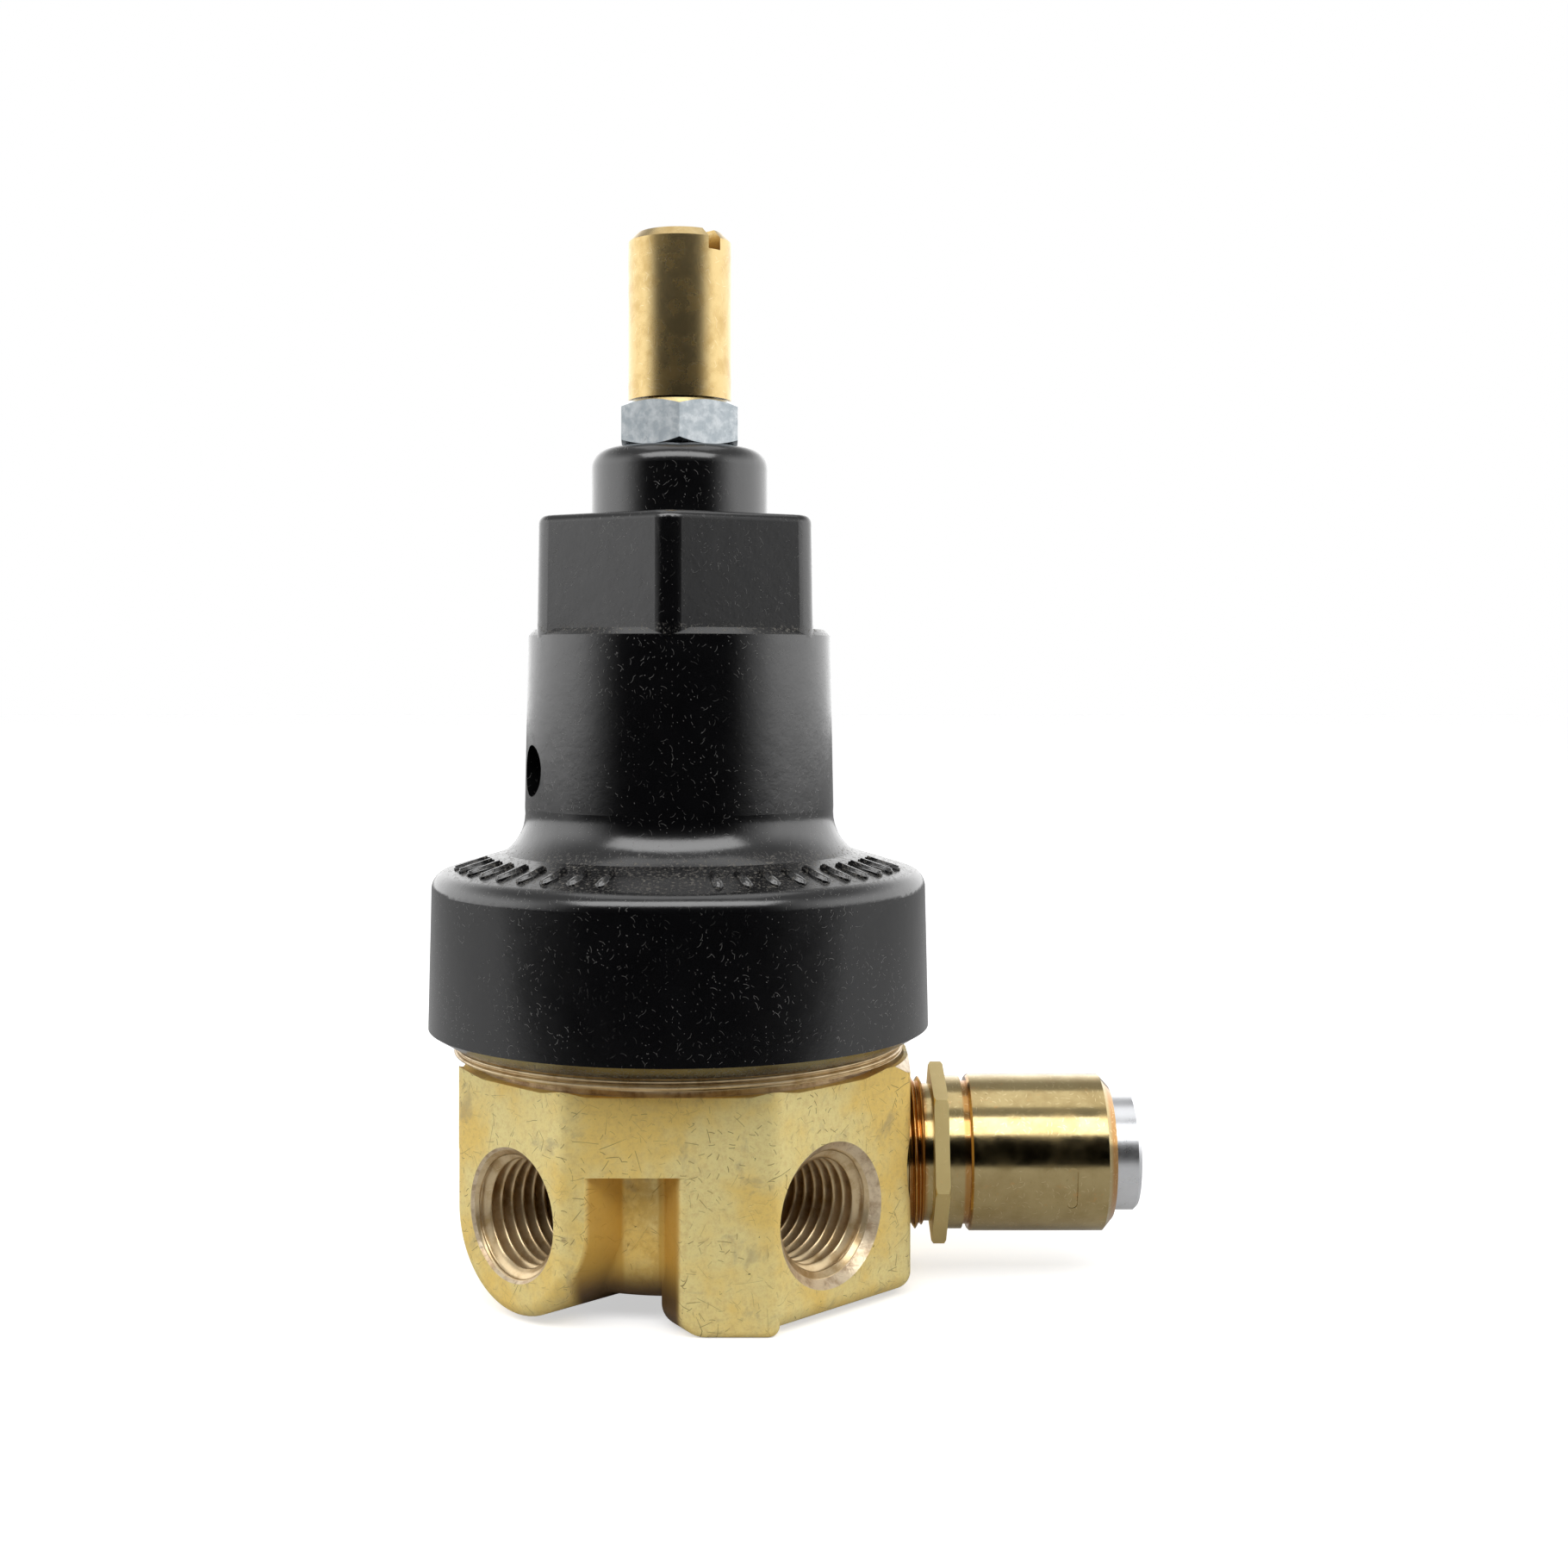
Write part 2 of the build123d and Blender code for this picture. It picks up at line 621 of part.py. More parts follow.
def relief_base():
    """The threaded base of the relief valve, with its hexagon and nozzle."""
    base = turned(
        (0, RELIEF_BORE_LOW),
        (RELIEF_THREAD_R, RELIEF_BORE_LOW),
        (RELIEF_THREAD_R, RELIEF_FACE - 0.3),
        (RELIEF_ROOT_R, RELIEF_FACE - 0.3),
        (RELIEF_ROOT_R, RELIEF_THREAD_END),
        (RELIEF_NECK_R, RELIEF_THREAD_END),
        (RELIEF_NECK_R, RELIEF_HEX[1] - 0.5),
        (RELIEF_LAND_R, RELIEF_HEX[1] - 0.5),
        (RELIEF_LAND_R, RELIEF_LAND_END),
        (RELIEF_GROOVE_R, RELIEF_LAND_END),
        (RELIEF_GROOVE_R, RELIEF_BARREL_LOW),
        (RELIEF_SPIGOT_R, RELIEF_BARREL_LOW),
        (RELIEF_SPIGOT_R, RELIEF_SPIGOT_END),
        (RELIEF_NOZZLE_R, RELIEF_SPIGOT_END),
        (RELIEF_NOZZLE_R, RELIEF_NOZZLE_END),
        (0, RELIEF_NOZZLE_END),
    )
    base += chamfered_hexagon(RELIEF_HEX_AF, *RELIEF_HEX, RELIEF_HEX_RIM, RELIEF_HEX_TURN)
    base -= cylinder(RELIEF_DRILL_R, RELIEF_BORE_LOW - 1, RELIEF_NOZZLE_END + 1)
    return at_relief(base)


def stake_mark():
    """The shallow punch mark across the barrel's front."""
    reach = BARREL_R - STAKE_DEPTH
    mark = Box(STAKE_DEPTH * 4, STAKE_ARC, STAKE_WIDTH)
    mark = fillet(mark.edges().filter_by(Axis.X), STAKE_WIDTH * 0.49)
    return Rot(0, 0, 270 + STAKE_TURN) * Pos(reach + STAKE_DEPTH * 2, 0, STAKE_AT) * mark


def relief_barrel():
    """The relief valve's barrel."""
    barrel = turned(
        (RELIEF_SPIGOT_R, RELIEF_BARREL_LOW),
        (BARREL_R - 0.25, RELIEF_BARREL_LOW),
        (BARREL_R, RELIEF_BARREL_LOW + 0.25),
        (BARREL_R, BARREL_CHAMFER_AT),
        (BARREL_END_R, BARREL_END),
        (BARREL_BORE_R, BARREL_END),
        (BARREL_BORE_R, RELIEF_SPIGOT_END),
        (RELIEF_SPIGOT_R, RELIEF_SPIGOT_END),
    )
    return at_relief(barrel - stake_mark())


def relief_plug():
    """The vented aluminium plug that holds the relief spring."""
    low, high = RELIEF_PLUG
    plug = turned(
        (0, low),
        (BARREL_BORE_R, low),
        (BARREL_BORE_R, high - RELIEF_PLUG_CHAMFER),
        (BARREL_BORE_R - RELIEF_PLUG_CHAMFER, high),
        (0, high),
    )
    return at_relief(plug - cylinder(RELIEF_VENT_R, low - 1, high + 1))


def relief_poppet():
    """The relief valve's poppet and guide stem."""
    head = cylinder(RELIEF_POPPET_R, RELIEF_SEAL[1], RELIEF_POPPET_END)
    return at_relief(head + cylinder(RELIEF_STEM_R, RELIEF_SEAL[1], RELIEF_STEM_END))


def relief_poppet_seal():
    """The rubber disc that closes the relief nozzle."""
    return at_relief(cylinder(RELIEF_SEAL_R, *RELIEF_SEAL))


# ---- Nodes --------------------------------------------------------------------------------

NODES = {
    "regulator_body": regulator_body(),
    "valve_seat": valve_seat(),
    "poppet": poppet(),
    "poppet_seal": poppet_seal(),
    "poppet_spring": coil(3.0, 0.7, PLUG_TOP, POPPET_LOW, 6),
    "bottom_plug": bottom_plug(),
    "bottom_plug_o_ring": bottom_plug_o_ring(),
    "inlet_filter": inlet_filter(),
    "diaphragm": diaphragm(),
    "slip_ring": slip_ring(),
    "diaphragm_bolt": diaphragm_bolt(),
    "diaphragm_washer": diaphragm_washer(),
    "diaphragm_plate": diaphragm_plate(),
    "diaphragm_nut": diaphragm_nut(),
    "range_spring": coil(SPRING_MEAN_R, SPRING_WIRE, PLATE_TOP, BUTTON_LOW, SPRING_TURNS),
    "spring_button": spring_button(),
    "bonnet": bonnet(),
    "bonnet_insert": bonnet_insert(),
    "adjusting_screw": adjusting_screw(),
    "lock_nut": lock_nut(),
    "relief_base": relief_base(),
    "relief_barrel": relief_barrel(),
    "relief_plug": relief_plug(),
    "relief_poppet": relief_poppet(),
    "relief_poppet_seal": relief_poppet_seal(),
    "relief_spring": at_relief(coil(3.6, 0.9, RELIEF_POPPET_END, RELIEF_PLUG[0], 5)),
}

for name, shape in NODES.items():
    export_step(shape, f"parts/{name}.step")
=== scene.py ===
import math

import bmesh
import bpy
from mathutils import Matrix, Vector

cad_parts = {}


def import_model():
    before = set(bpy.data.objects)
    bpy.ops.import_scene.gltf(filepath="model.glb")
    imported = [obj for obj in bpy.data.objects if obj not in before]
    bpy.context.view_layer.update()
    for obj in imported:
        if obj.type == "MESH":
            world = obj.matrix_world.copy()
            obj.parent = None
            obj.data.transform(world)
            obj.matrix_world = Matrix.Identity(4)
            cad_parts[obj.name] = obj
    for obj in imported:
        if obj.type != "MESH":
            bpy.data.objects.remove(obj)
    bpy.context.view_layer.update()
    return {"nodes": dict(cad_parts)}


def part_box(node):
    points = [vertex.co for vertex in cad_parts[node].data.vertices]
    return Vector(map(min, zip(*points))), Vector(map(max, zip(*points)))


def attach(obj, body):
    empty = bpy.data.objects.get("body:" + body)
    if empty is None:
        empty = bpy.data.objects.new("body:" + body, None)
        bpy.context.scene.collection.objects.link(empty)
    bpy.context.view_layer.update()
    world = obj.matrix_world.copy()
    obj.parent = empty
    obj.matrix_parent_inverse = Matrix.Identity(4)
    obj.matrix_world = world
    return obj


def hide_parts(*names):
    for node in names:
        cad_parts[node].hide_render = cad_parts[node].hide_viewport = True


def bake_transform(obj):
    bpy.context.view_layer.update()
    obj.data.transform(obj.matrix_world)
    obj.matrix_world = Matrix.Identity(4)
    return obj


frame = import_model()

MM = 0.001
NODES = frame["nodes"]

# ---- Places and sizes, in millimetres ------------------------------------------------------


def box_mm(node):
    """A CAD node's lowest and highest corner, in millimetres."""
    low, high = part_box(node)
    return low / MM, high / MM


BARREL_LOW, BARREL_HIGH = box_mm("relief_barrel")
RELIEF_Z = (BARREL_LOW.z + BARREL_HIGH.z) / 2

PORT_FACE = 23.9
FRONT_FACE = 22.9
POCKET_TOP = 16.5
# The pocket beside the foot: its sides, how deep its painted orange reflected light goes, and heights where
# painted shade darkens it
POCKET_X = (-9.0, 0.6)
POCKET_Y = (-8.0, -12.0)
POCKET_SHADE_Z = (8.0, 3.0)
# Where along X the painted orange reflected light thickens against the pocket's two walls
POCKET_WALLS = ((-4.4, -5.2), (-1.6, -1.0))
PORT_Z = 11.1
PORT_ROOT_R = 6.8
PORT_DEPTH = 14.0
PORT_PITCH = 25.4 / 18
PORT_THREAD_DEPTH = 1.13
# The way each port points, from +X, and its countersink's radius at the face
PORTS = {"left": (225, 7.1), "right": (315, 7.7)}

NECK_ROOT_R = 24.8
NECK_CREST_R = 25.3
NECK_PITCH = 0.62
NECK_THREAD = (25.75, 28.5)
NECK_FLOOR = 24.7
# The turned cone under the neck: radius and height at its top and its foot
TURNED_CONE = ((25.9, 25.4), (27.4, 23.7))

SCREW_ROOT_R = 3.4
SCREW_CREST_R = 3.98
SCREW_PITCH = 1.27
SCREW_THREAD = (92.4, 99.0)

RELIEF_ROOT_R = 7.85
RELIEF_CREST_R = 8.45
RELIEF_PITCH = 0.95
RELIEF_THREAD = (25.55, 27.4)

# The bonnet's sloping shoulder: radius and height at its foot and its top
CONE_LOW = (26.4, 46.05)
CONE_TOP = (19.8, 48.05)
LEDGE_Z = 73.06
# Groups of ribs: the angles of the first and the last, from straight ahead, and how many
RIB_GROUPS = ((-76, -16, 9), (12, 76, 10))
RIB_R = 23.4
RIB_SIZE = (4.1, 0.95, 0.9)
RIB_ROUND = 0.22
SKIRT_TOE = box_mm("bonnet")[0].z
# Stretches of the relief valve, from its thread outwards, that are stained brown
RELIEF_STAINS = ((25.9, 27.4), (32.0, 32.4), (48.15, 48.4))
# The hexagon's stretch, with a soft edge at each end
RELIEF_FLATS = ((28.35, 28.4), (30.05, 30.0))

# ---- Material helpers ----------------------------------------------------------------------


class Shader:
    """A material's node tree, with the object's own coordinates in millimetres."""

    def __init__(self, name, metallic=0.0, roughness=0.5, **sockets):
        self.material = bpy.data.materials.new(name)
        self.material.use_nodes = True
        self.tree = self.material.node_tree
        self.bsdf = self.tree.nodes["Principled BSDF"]
        self.bsdf.inputs["Metallic"].default_value = metallic
        self.bsdf.inputs["Roughness"].default_value = roughness
        for socket, value in sockets.items():
            self.bsdf.inputs[socket].default_value = value
        self.place = self.node("ShaderNodeTexCoord").outputs["Object"]
        self.mm = self.mapped(scale=(1 / MM,) * 3)
        self.relief = []

    def node(self, kind, **settings):
        made = self.tree.nodes.new(kind)
        for key, value in settings.items():
            setattr(made, key, value)
        return made

    def link(self, value, socket):
        """Connects an output, or sets a constant, on an input."""
        if isinstance(value, bpy.types.NodeSocket):
            self.tree.links.new(value, socket)
        else:
            socket.default_value = value

    def mapped(self, scale):
        """The object's coordinates, which are in metres, stretched along each axis."""
        made = self.node("ShaderNodeMapping")
        made.inputs["Scale"].default_value = scale
        self.link(self.place, made.inputs["Vector"])
        return made.outputs["Vector"]

    def noise(self, scale, detail=3.0, rough=0.5, source=None, distortion=0.0):
        """Fractal noise, with scale in features per millimetre."""
        made = self.node("ShaderNodeTexNoise")
        made.inputs["Scale"].default_value = scale
        made.inputs["Detail"].default_value = detail
        made.inputs["Roughness"].default_value = rough
        made.inputs["Distortion"].default_value = distortion
        self.link(source or self.mm, made.inputs["Vector"])
        return made.outputs["Fac"]

    def cells(self, scale):
        """The distance to the nearest of a scatter of points, scale points a millimetre."""
        made = self.node("ShaderNodeTexVoronoi")
        made.inputs["Scale"].default_value = scale
        self.link(self.mm, made.inputs["Vector"])
        return made.outputs["Distance"]

    def band(self, value, low, high):
        """0 below low, 1 above high, and smooth between. Swapped limits turn it over."""
        made = self.node("ShaderNodeMapRange", interpolation_type="SMOOTHSTEP")
        self.link(value, made.inputs["Value"])
        for socket, number in zip(("From Min", "From Max", "To Min", "To Max"), (low, high, 0, 1)):
            made.inputs[socket].default_value = number
        return made.outputs["Result"]

    def maths(self, operation, a, b=0.0):
        made = self.node("ShaderNodeMath", operation=operation)
        self.link(a, made.inputs[0])
        self.link(b, made.inputs[1])
        return made.outputs["Value"]

    def mix(self, fac, a, b):
        """A colour mixed from a to b."""
        made = self.node("ShaderNodeMix", data_type="RGBA", clamp_factor=True)
        self.link(fac, made.inputs[0])
        for value, socket in ((a, made.inputs[6]), (b, made.inputs[7])):
            colour = value if isinstance(value, bpy.types.NodeSocket) else (*value, 1)
            self.link(colour, socket)
        return made.outputs[2]

    def blend(self, fac, a, b):
        """A number mixed from a to b."""
        made = self.node("ShaderNodeMix", data_type="FLOAT", clamp_factor=True)
        for value, socket in ((fac, 0), (a, 2), (b, 3)):
            self.link(value, made.inputs[socket])
        return made.outputs[0]

    def axes(self):
        """The millimetre coordinates one by one."""
        made = self.node("ShaderNodeSeparateXYZ")
        self.link(self.mm, made.inputs["Vector"])
        return made.outputs["X"], made.outputs["Y"], made.outputs["Z"]

    def vector(self, operation, a, b=(0, 0, 0)):
        """A vector from vector maths, or a number from a dot product."""
        made = self.node("ShaderNodeVectorMath", operation=operation)
        self.link(a, made.inputs[0])
        self.link(b, made.inputs[1])
        return made.outputs["Value" if operation == "DOT_PRODUCT" else "Vector"]

    def magnitude(self, value):
        """The value without its sign."""
        return self.maths("ABSOLUTE", value)

    def radius_from(self, a, b):
        """The distance from an axis, from the two coordinates across it."""
        squares = [self.maths("MULTIPLY", v, v) for v in (a, b)]
        return self.maths("SQRT", self.maths("ADD", *squares))

    def fibres(self, density, length, width, bend=0.0, share=0.5):
        """Short marks that lie on the surface, one in each random cell, density cells a millimetre."""
        cells = self.node("ShaderNodeTexVoronoi")
        cells.inputs["Scale"].default_value = 1.0
        place = self.mapped((density / MM,) * 3)
        self.link(place, cells.inputs["Vector"])
        normal = self.node("ShaderNodeNewGeometry").outputs["Normal"]
        offset = self.vector("SUBTRACT", place, cells.outputs["Position"])
        random = self.vector("SUBTRACT", cells.outputs["Color"], (0.5, 0.5, 0.5))
        along = self.vector("NORMALIZE", self.vector("CROSS_PRODUCT", normal, random))
        across = self.vector("CROSS_PRODUCT", normal, along)
        u = self.vector("DOT_PRODUCT", offset, along)
        v = self.vector("DOT_PRODUCT", offset, across)
        depth = self.magnitude(self.vector("DOT_PRODUCT", offset, normal))
        curved = self.maths("ADD", v, self.maths("MULTIPLY", self.maths("MULTIPLY", u, u), bend))
        line = self.band(self.magnitude(curved), width * density, width * density * 0.5)
        ends = self.band(self.magnitude(u), length * density / 2, length * density / 2.4)
        line = self.maths("MULTIPLY", line, ends)
        pick = self.node("ShaderNodeSeparateColor")
        self.link(cells.outputs["Color"], pick.inputs["Color"])
        kept = self.band(pick.outputs["Red"], share, share - 0.02)
        near = self.maths("MULTIPLY", self.band(depth, 0.36, 0.34), kept)
        return self.maths("MULTIPLY", line, near)

    def bump(self, height, depth_mm, strength=1.0):
        """Adds a height, in millimetres, to the material's relief."""
        self.relief.append((height, depth_mm, strength))

    def done(self, colour, roughness=None):
        self.link(colour, self.bsdf.inputs["Base Color"])
        if roughness is not None:
            self.link(roughness, self.bsdf.inputs["Roughness"])
        last = None
        for height, depth_mm, strength in self.relief:
            made = self.node("ShaderNodeBump")
            made.inputs["Strength"].default_value = strength
            made.inputs["Distance"].default_value = depth_mm * MM
            self.link(height, made.inputs["Height"])
            if last:
                self.link(last, made.inputs["Normal"])
            last = made.outputs["Normal"]
        if last:
            self.link(last, self.bsdf.inputs["Normal"])
        return self.material


# ---- Materials -----------------------------------------------------------------------------

GOLD = (1.0, 0.73, 0.22)
PALE_GOLD = (1.0, 0.85, 0.38)
TURNED_TAN = (0.86, 0.71, 0.50)
DARK_BRASS = (0.13, 0.08, 0.025)
# Painted orange reflected light for the pocket beside the foot
POCKET_REFLECTED_ORANGE = (0.66, 0.38, 0.06)
GREY_TARNISH = (0.42, 0.33, 0.20)
# Painted shade colour for the floor of the pocket beside the foot
POCKET_SHADE_COLOUR = (0.16, 0.09, 0.03)


def forged_brass():
    """As-forged yellow brass, with turned tan faces at the ports and round the neck, and painted reflected
    light and painted shade in the pocket beside the foot.
    """
    s = Shader("forged_brass", metallic=0.45)
    x, y, z = s.axes()
    broad = s.noise(0.10, 4.0, 0.6)
    fine = s.noise(1.6, 6.0, 0.65)
    grain = s.noise(5.0, 3.0, 0.6)
    specks = s.band(s.noise(1.0, 6.0, 0.75), 0.65, 0.70)
    worn = s.band(s.noise(0.20, 3.0), 0.42, 0.62)
    dents = s.fibres(1.0, 0.7, 0.05, 0.3, 0.6)
    scores = s.maths("MAXIMUM", s.fibres(0.6, 1.6, 0.045, 0.08, 0.55), s.fibres(0.3, 3.2, 0.045, 0.04, 0.5))
    marks = s.maths("MULTIPLY", s.maths("MAXIMUM", dents, scores), s.blend(worn, 0.35, 1.0))
    colour = s.mix(s.band(broad, 0.38, 0.62), GOLD, PALE_GOLD)
    colour = s.mix(s.maths("MULTIPLY", s.band(fine, 0.42, 0.70), 0.35), colour, (0.72, 0.48, 0.16))
    tarnish = s.band(s.noise(0.22, 5.0, 0.62, distortion=0.5), 0.55, 0.70)
    colour = s.mix(s.maths("MULTIPLY", tarnish, 0.45), colour, GREY_TARNISH)
    colour = s.mix(s.maths("MULTIPLY", s.band(grain, 0.50, 0.78), 0.25), colour, (0.55, 0.38, 0.14))
    colour = s.mix(s.maths("MULTIPLY", specks, 0.8), colour, DARK_BRASS)
    colour = s.mix(s.maths("MULTIPLY", marks, 0.75), colour, (0.30, 0.19, 0.06))
    left, right = POCKET_X
    pocket = s.maths("MULTIPLY", s.band(x, left - 1.5, left), s.band(x, right + 0.8, right))
    edges = (
        (z, POCKET_TOP + 0.1, POCKET_TOP - 0.2),
        (y, *POCKET_Y),
        (y, -FRONT_FACE, 0.6 - FRONT_FACE),
    )
    for value, low, high in edges:
        pocket = s.maths("MULTIPLY", pocket, s.band(value, low, high))
    # Painted reflected light: an orange glow in the pocket, strongest by its two walls and patchy elsewhere
    sides = s.maths("MAXIMUM", *(s.band(x, *wall) for wall in POCKET_WALLS))
    patchy = s.blend(s.band(s.noise(0.6, 4.0, 0.6), 0.40, 0.62), 0.15, 0.55)
    stain = s.maths("MULTIPLY", pocket, s.maths("MAXIMUM", s.maths("MULTIPLY", sides, 0.85), patchy))
    colour = s.mix(stain, colour, POCKET_REFLECTED_ORANGE)
    # Painted shade: the pocket darkens towards its floor
    colour = s.mix(s.maths("MULTIPLY", pocket, s.band(z, *POCKET_SHADE_Z)), colour, POCKET_SHADE_COLOUR)
    rough = s.blend(s.noise(0.5, 4.0), 0.42, 0.56)
    rough = s.blend(specks, rough, 0.7)
    s.bump(fine, 0.05, 0.6)
    s.bump(s.noise(0.45, 3.0), 0.12, 0.7)
    s.bump(s.maths("MAXIMUM", specks, marks), -0.05, 0.9)
    from_axis = s.radius_from(x, y)
    (top_r, top_z), (low_r, low_z) = TURNED_CONE
    cone = s.maths("MULTIPLY", s.maths("SUBTRACT", from_axis, top_r), (top_z - low_z) / (low_r - top_r))
    above_cone = s.band(s.maths("ADD", z, cone), top_z - 0.08, top_z - 0.02)
    in_groove = s.band(from_axis, FRONT_FACE - 0.01, FRONT_FACE - 0.03)
    above_floor = s.band(z, NECK_FLOOR - 0.9, NECK_FLOOR - 0.8)
    turned = s.maths("MULTIPLY", s.maths("MAXIMUM", above_cone, in_groove), above_floor)
    tan = s.mix(s.band(s.noise(0.6, 5.0, 0.65), 0.4, 0.7), TURNED_TAN, (0.48, 0.33, 0.19))
    colour = s.mix(turned, colour, tan)
    rough = s.blend(turned, rough, 0.28)
    for angle, sink in PORTS.values():
        a = math.radians(angle)
        across = s.maths("ADD", s.maths("MULTIPLY", x, -math.sin(a)), s.maths("MULTIPLY", y, math.cos(a)))
        along = s.maths("ADD", s.maths("MULTIPLY", x, math.cos(a)), s.maths("MULTIPLY", y, math.sin(a)))
        spread = s.radius_from(across, s.maths("SUBTRACT", z, PORT_Z))
        in_port = s.maths("MULTIPLY", s.band(spread, sink + 0.03, sink - 0.03), s.band(along, 5, 6))
        colour = s.mix(in_port, colour, tan)
        rough = s.blend(in_port, rough, 0.3)
    return s.done(colour, rough)


def machined_brass(name, colour_a, colour_b, roughness, metallic=1.0):
    """Turned brass with fine tool marks, small specks and soft stains."""
    s = Shader(name, metallic=metallic)
    waves = s.noise(3.0, 3.0, 0.6, s.mapped((20, 20, 3 / MM)))
    stain = s.band(s.noise(0.45, 5.0, 0.6), 0.40, 0.72)
    colour = s.mix(stain, colour_a, colour_b)
    specks = s.band(s.noise(2.2, 5.0, 0.7), 0.66, 0.74)
    colour = s.mix(s.maths("MULTIPLY", specks, 0.5), colour, DARK_BRASS)
    colour = s.mix(s.maths("MULTIPLY", s.fibres(1.2, 0.8, 0.03, 0.3, 0.5), 0.35), colour, (0.95, 0.85, 0.62))
    s.bump(waves, 0.004, 0.5)
    s.bump(s.noise(6.0, 4.0, 0.6), 0.006, 0.6)
    return s.done(colour, s.blend(stain, roughness, roughness + 0.05))


def relief_brass():
    """Bright turned brass, stained orange-brown beside its grooves and at its rims."""
    s = Shader("relief_brass", metallic=1.0)
    x, y, z = s.axes()
    rings = s.noise(4.0, 3.0, 0.6, s.mapped((4 / MM, 30, 30)))
    wipe = s.band(s.noise(0.35, 5.0, 0.6), 0.35, 0.7)
    colour = s.mix(wipe, (0.52, 0.41, 0.20), (0.44, 0.33, 0.15))
    rim = None
    for low, high in RELIEF_STAINS:
        near = s.maths("MULTIPLY", s.band(x, low - 0.5, low), s.band(x, high + 0.5, high))
        rim = near if rim is None else s.maths("MAXIMUM", rim, near)
    brown = s.maths("MULTIPLY", rim, s.blend(s.noise(1.2, 4.0, 0.6), 0.55, 1.0))
    colour = s.mix(brown, colour, (0.46, 0.21, 0.05))
    blush = s.band(s.noise(0.8, 5.0, 0.65), 0.60, 0.72)
    colour = s.mix(s.maths("MULTIPLY", blush, 0.5), colour, (0.62, 0.36, 0.14))
    specks = s.band(s.noise(3.0, 5.0, 0.7), 0.65, 0.72)
    colour = s.mix(s.maths("MULTIPLY", specks, 0.6), colour, DARK_BRASS)
    lint = s.fibres(1.6, 0.5, 0.035, 0.6, 0.5)
    colour = s.mix(s.maths("MULTIPLY", lint, 0.4), colour, (0.95, 0.80, 0.50))
    s.bump(rings, 0.003, 0.6)
    s.bump(s.noise(1.0, 3.0), 0.012, 0.4)
    flats = s.maths("MULTIPLY", s.band(x, *RELIEF_FLATS[0]), s.band(x, *RELIEF_FLATS[1]))
    colour = s.mix(s.maths("MULTIPLY", flats, 0.6), colour, (0.95, 0.76, 0.34))
    return s.done(colour, s.blend(flats, s.blend(wipe, 0.13, 0.22), 0.45))


def zinc_plate():
    """Bright bluish zinc plating with soft blotches."""
    s = Shader("zinc_plate", metallic=1.0)
    blotch = s.noise(0.9, 5.0, 0.6)
    colour = s.mix(s.band(blotch, 0.35, 0.7), (0.52, 0.58, 0.62), (0.80, 0.85, 0.88))
    colour = s.mix(s.band(s.noise(1.6, 5.0, 0.7), 0.63, 0.75), colour, (0.36, 0.36, 0.38))
    s.bump(blotch, 0.01, 0.6)
    return s.done(colour, s.blend(blotch, 0.14, 0.26))


def spring_wire():
    """Dark oiled spring wire."""
    s = Shader("spring_wire", metallic=1.0)
    blotch = s.noise(1.2, 4.0)
    s.bump(s.noise(5.0, 4.0), 0.01, 0.5)
    return s.done(s.mix(blotch, (0.16, 0.16, 0.17), (0.34, 0.34, 0.36)), s.blend(blotch, 0.25, 0.45))


def turned_aluminium():
    """Pale turned aluminium."""
    s = Shader("turned_aluminium", metallic=1.0)
    x, y, z = s.axes()
    spread = s.radius_from(y, s.maths("SUBTRACT", z, RELIEF_Z))
    rings = s.maths("SINE", s.maths("MULTIPLY", spread, 28.0))
    stain = s.noise(0.7, 4.0)
    s.bump(rings, 0.004, 0.6)
    s.bump(s.noise(3.0, 4.0), 0.006, 0.5)
    return s.done(s.mix(stain, (0.70, 0.71, 0.73), (0.84, 0.85, 0.87)), s.blend(stain, 0.22, 0.36))


def bonnet_plastic():
    """Black moulding, with lint all over, and brown dust on its shoulder and ledge."""
    s = Shader("bonnet_plastic", roughness=0.2, IOR=1.8)
    x, y, z = s.axes()
    colour = s.mix(s.noise(0.3, 4.0), (0.0012, 0.0012, 0.0016), (0.003, 0.003, 0.0036))
    crowd = s.band(s.noise(0.16, 3.0), 0.40, 0.60)
    fibres = s.maths("MAXIMUM", s.fibres(0.9, 0.75, 0.026, 0.9, 0.34), s.fibres(1.5, 0.4, 0.024, -0.8, 0.30))
    dots = s.maths("MAXIMUM", s.fibres(1.7, 0.10, 0.045, 0.0, 0.35), s.fibres(1.0, 0.15, 0.06, 0.0, 0.25))
    lint = s.maths("MULTIPLY", s.maths("MAXIMUM", fibres, dots), s.blend(crowd, 0.06, 0.26))
    dust = s.band(s.noise(2.6, 5.0, 0.75), 0.52, 0.66)
    cone = s.band(z, CONE_LOW[1] - 0.4, CONE_LOW[1] + 0.4)
    cone = s.maths("MULTIPLY", cone, s.band(z, CONE_TOP[1] + 1.6, CONE_TOP[1]))
    ledge = s.maths("MULTIPLY", s.band(z, LEDGE_Z - 1.0, LEDGE_Z - 0.3), s.band(z, LEDGE_Z + 0.7, LEDGE_Z))
    toe = s.band(z, SKIRT_TOE + 1.6, SKIRT_TOE + 0.5)
    dusty = s.maths("MAXIMUM", s.maths("MAXIMUM", cone, ledge), s.maths("MULTIPLY", toe, 0.6))
    settled = s.maths("MULTIPLY", dust, dusty)
    colour = s.mix(s.maths("MULTIPLY", settled, 0.8), colour, (0.17, 0.155, 0.13))
    colour = s.mix(lint, colour, (0.50, 0.49, 0.46))
    s.bump(s.noise(2.5, 5.0, 0.6), 0.012, 0.5)
    s.bump(s.noise(0.5, 3.0), 0.04, 0.4)
    s.bump(lint, 0.03, 0.5)
    rough = s.blend(s.noise(0.4, 4.0), 0.17, 0.24)
    return s.done(colour, s.blend(s.maths("MAXIMUM", lint, settled), rough, 0.9))


